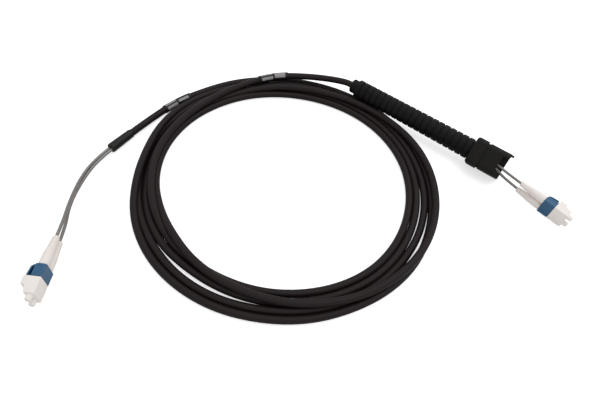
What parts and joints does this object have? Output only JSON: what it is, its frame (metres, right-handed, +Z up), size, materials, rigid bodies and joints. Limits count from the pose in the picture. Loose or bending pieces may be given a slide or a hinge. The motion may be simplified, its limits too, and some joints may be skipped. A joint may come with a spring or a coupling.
{
  "type": "fibre patch cord",
  "caption": "Coiled outdoor fibre patch cord: round black cable with a ribbed bend boot at one end, breakout legs, and duplex LC plugs with latches and pull-off dust caps.",
  "frame": {"origin": "on the table, under the middle of the box round the boot, sleeves, labels and plugs", "axes": "+Z up from the table, +X from the breakout end towards the boot end, +Y away from the viewer"},
  "size_m": [0.3302, 0.225, 0.0262],
  "materials": {
    "cable_jacket": "matte black jacket",
    "boot_rubber": "matte black moulded boot",
    "shrink_black": "shrink tube, slightly glossy",
    "label_grey": "blank grey label film",
    "leg_grey": "grey leg jacket",
    "plug_blue": "satin blue moulding",
    "relief_white": "warm white moulding",
    "cap_white": "warm white dust cap",
    "ferrule_white": "white zirconia ceramic, polished",
    "spring_steel": "spring steel",
    "crimp_brass": "plated crimp",
    "rear_grey": "moulded inner body"
  },
  "bodies": {
    "cord": {"cable_coil": "cable_jacket", "cable_tail_a": "cable_jacket", "cable_tail_b": "cable_jacket", "label_sleeve_a": "label_grey", "label_sleeve_b": "label_grey", "breakout_sleeve_a": "shrink_black", "breakout_sleeve_b": "shrink_black", "bend_boot": "boot_rubber", "boot_head": "boot_rubber", "leg_a_upper": "leg_grey", "plug_housing_a_upper": "plug_blue", "rear_body_a_upper": "rear_grey", "crimp_sleeve_a_upper": "crimp_brass", "strain_relief_a_upper": "relief_white", "ferrule_spring_a_upper": "spring_steel", "leg_a_lower": "leg_grey", "plug_housing_a_lower": "plug_blue", "rear_body_a_lower": "rear_grey", "crimp_sleeve_a_lower": "crimp_brass", "strain_relief_a_lower": "relief_white", "ferrule_spring_a_lower": "spring_steel", "duplex_clip_a": "plug_blue", "leg_b_upper": "leg_grey", "plug_housing_b_upper": "plug_blue", "rear_body_b_upper": "rear_grey", "crimp_sleeve_b_upper": "crimp_brass", "strain_relief_b_upper": "relief_white", "ferrule_spring_b_upper": "spring_steel", "leg_b_lower": "leg_grey", "plug_housing_b_lower": "plug_blue", "rear_body_b_lower": "rear_grey", "crimp_sleeve_b_lower": "crimp_brass", "strain_relief_b_lower": "relief_white", "ferrule_spring_b_lower": "spring_steel", "duplex_clip_b": "plug_blue"},
    "ferrule_a_upper": {"ferrule_a_upper": "ferrule_white"},
    "ferrule_a_lower": {"ferrule_a_lower": "ferrule_white"},
    "trigger_a": {"release_trigger_a": "plug_blue"},
    "latches_a": {"latch_arm_a_upper": "plug_blue", "latch_arm_a_lower": "plug_blue"},
    "cap_a": {"dust_cap_a": "cap_white"},
    "ferrule_b_upper": {"ferrule_b_upper": "ferrule_white"},
    "ferrule_b_lower": {"ferrule_b_lower": "ferrule_white"},
    "trigger_b": {"release_trigger_b": "plug_blue"},
    "latches_b": {"latch_arm_b_upper": "plug_blue", "latch_arm_b_lower": "plug_blue"},
    "cap_b": {"dust_cap_b": "cap_white"}
  },
  "joints": [
    {"name": "ferrule_push_a_upper", "type": "slide", "parent": "cord", "child": "ferrule_a_upper", "axis": [-0.0523, 0.9986, 0], "range_m": [0, 0.001], "stiffness_N_per_m": 1000, "deforming": ["ferrule_spring_a_upper"]},
    {"name": "ferrule_push_a_lower", "type": "slide", "parent": "cord", "child": "ferrule_a_lower", "axis": [-0.0523, 0.9986, 0], "range_m": [0, 0.001], "stiffness_N_per_m": 1000, "deforming": ["ferrule_spring_a_lower"]},
    {"name": "cap_pull_a", "type": "slide", "parent": "cord", "child": "cap_a", "axis": [0.0523, -0.9986, 0], "range_m": [0, 0.018]},
    {"name": "trigger_press_a", "type": "hinge", "parent": "cord", "child": "trigger_a", "pos_m": [-0.16112, -0.09095, 0.0062], "axis": [0, 0, 1], "range_deg": [0, 8], "stiffness_Nm_per_rad": 0.04},
    {"name": "latch_flex_a", "type": "hinge", "parent": "cord", "child": "latches_a", "pos_m": [-0.15981, -0.10436, 0.0062], "axis": [0, 0, 1], "range_deg": [-12, 0]},
    {"name": "ferrule_push_b_upper", "type": "slide", "parent": "cord", "child": "ferrule_b_upper", "axis": [-0.766, 0.6428, 0], "range_m": [0, 0.001], "stiffness_N_per_m": 1000, "deforming": ["ferrule_spring_b_upper"]},
    {"name": "ferrule_push_b_lower", "type": "slide", "parent": "cord", "child": "ferrule_b_lower", "axis": [-0.766, 0.6428, 0], "range_m": [0, 0.001], "stiffness_N_per_m": 1000, "deforming": ["ferrule_spring_b_lower"]},
    {"name": "cap_pull_b", "type": "slide", "parent": "cord", "child": "cap_b", "axis": [0.766, -0.6428, 0], "range_m": [0, 0.018]},
    {"name": "trigger_press_b", "type": "hinge", "parent": "cord", "child": "trigger_b", "pos_m": [0.14922, 0.02122, 0.0062], "axis": [0, 0, -1], "range_deg": [0, 8], "stiffness_Nm_per_rad": 0.04},
    {"name": "latch_flex_b", "type": "hinge", "parent": "cord", "child": "latches_b", "pos_m": [0.15914, 0.01211, 0.0062], "axis": [0, 0, -1], "range_deg": [-12, 0]}
  ],
  "couplings": [
    {"joint": "latch_flex_a", "follows": "trigger_press_a", "ratio": -0.85},
    {"joint": "latch_flex_b", "follows": "trigger_press_b", "ratio": -0.85}
  ]
}
